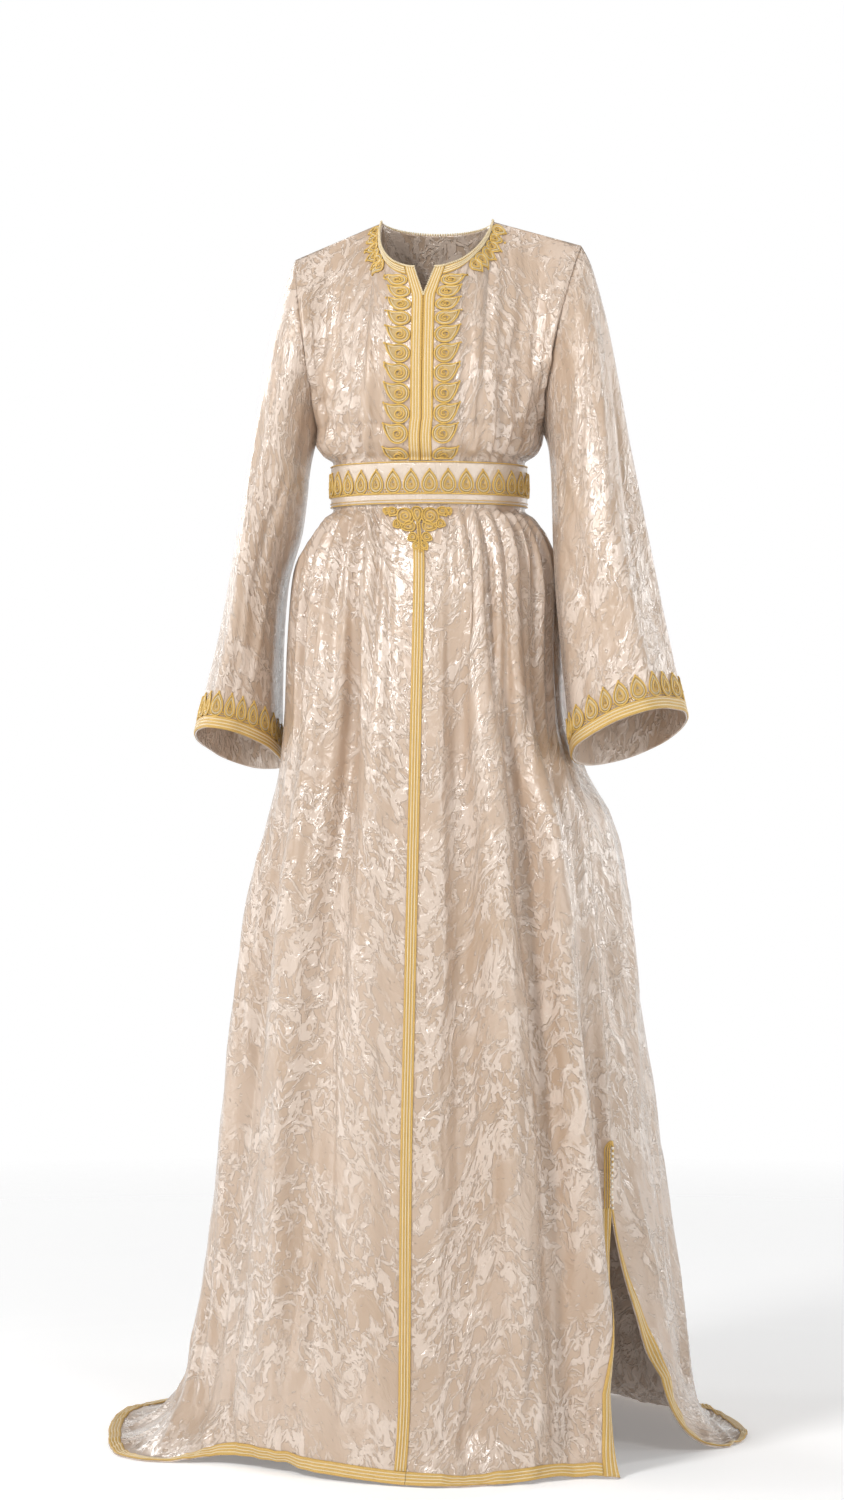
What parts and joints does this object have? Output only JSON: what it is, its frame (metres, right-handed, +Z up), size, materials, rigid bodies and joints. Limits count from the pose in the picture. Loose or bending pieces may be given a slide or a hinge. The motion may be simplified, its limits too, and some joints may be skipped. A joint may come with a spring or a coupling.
{
  "type": "moroccan kaftan",
  "caption": "Full-length belted kaftan of satin jacquard in its worn form, with wide sleeves, gold braid and motifs, a side slit and a hem that trails.",
  "frame": {"origin": "midway between the shoulders, level with the top of the shoulder seams, where the wearer carries the garment", "axes": "+Z up, the front faces -Y, the wearer's left is +X"},
  "size_m": [0.7731, 0.7869, 1.4473],
  "materials": {
    "satin": "champagne satin jacquard, glossy marbled figure on a satin ground",
    "gold_cord": "gold metallic cord and braid, hand couched"
  },
  "bodies": {
    "root": {"front_left": "satin", "front_right": "satin", "back": "satin", "sleeve_left": "satin", "sleeve_right": "satin", "belt": "satin", "belt_motifs": "gold_cord", "cuff_band_left": "gold_cord", "cuff_band_right": "gold_cord", "cuff_motifs_left": "gold_cord", "cuff_motifs_right": "gold_cord", "hem_band_back": "gold_cord", "hem_band_left": "gold_cord", "hem_band_right": "gold_cord", "motifs_left": "gold_cord", "motifs_right": "gold_cord", "neck_band_back": "gold_cord", "neck_band_left": "gold_cord", "neck_band_right": "gold_cord", "neck_motifs_left": "gold_cord", "neck_motifs_right": "gold_cord", "pendant_motif": "gold_cord", "placket_band_left": "gold_cord", "placket_band_right": "gold_cord", "skirt_band": "gold_cord", "slit_band_back": "gold_cord", "slit_band_front": "gold_cord", "slit_tab": "gold_cord"}
  },
  "joints": []
}
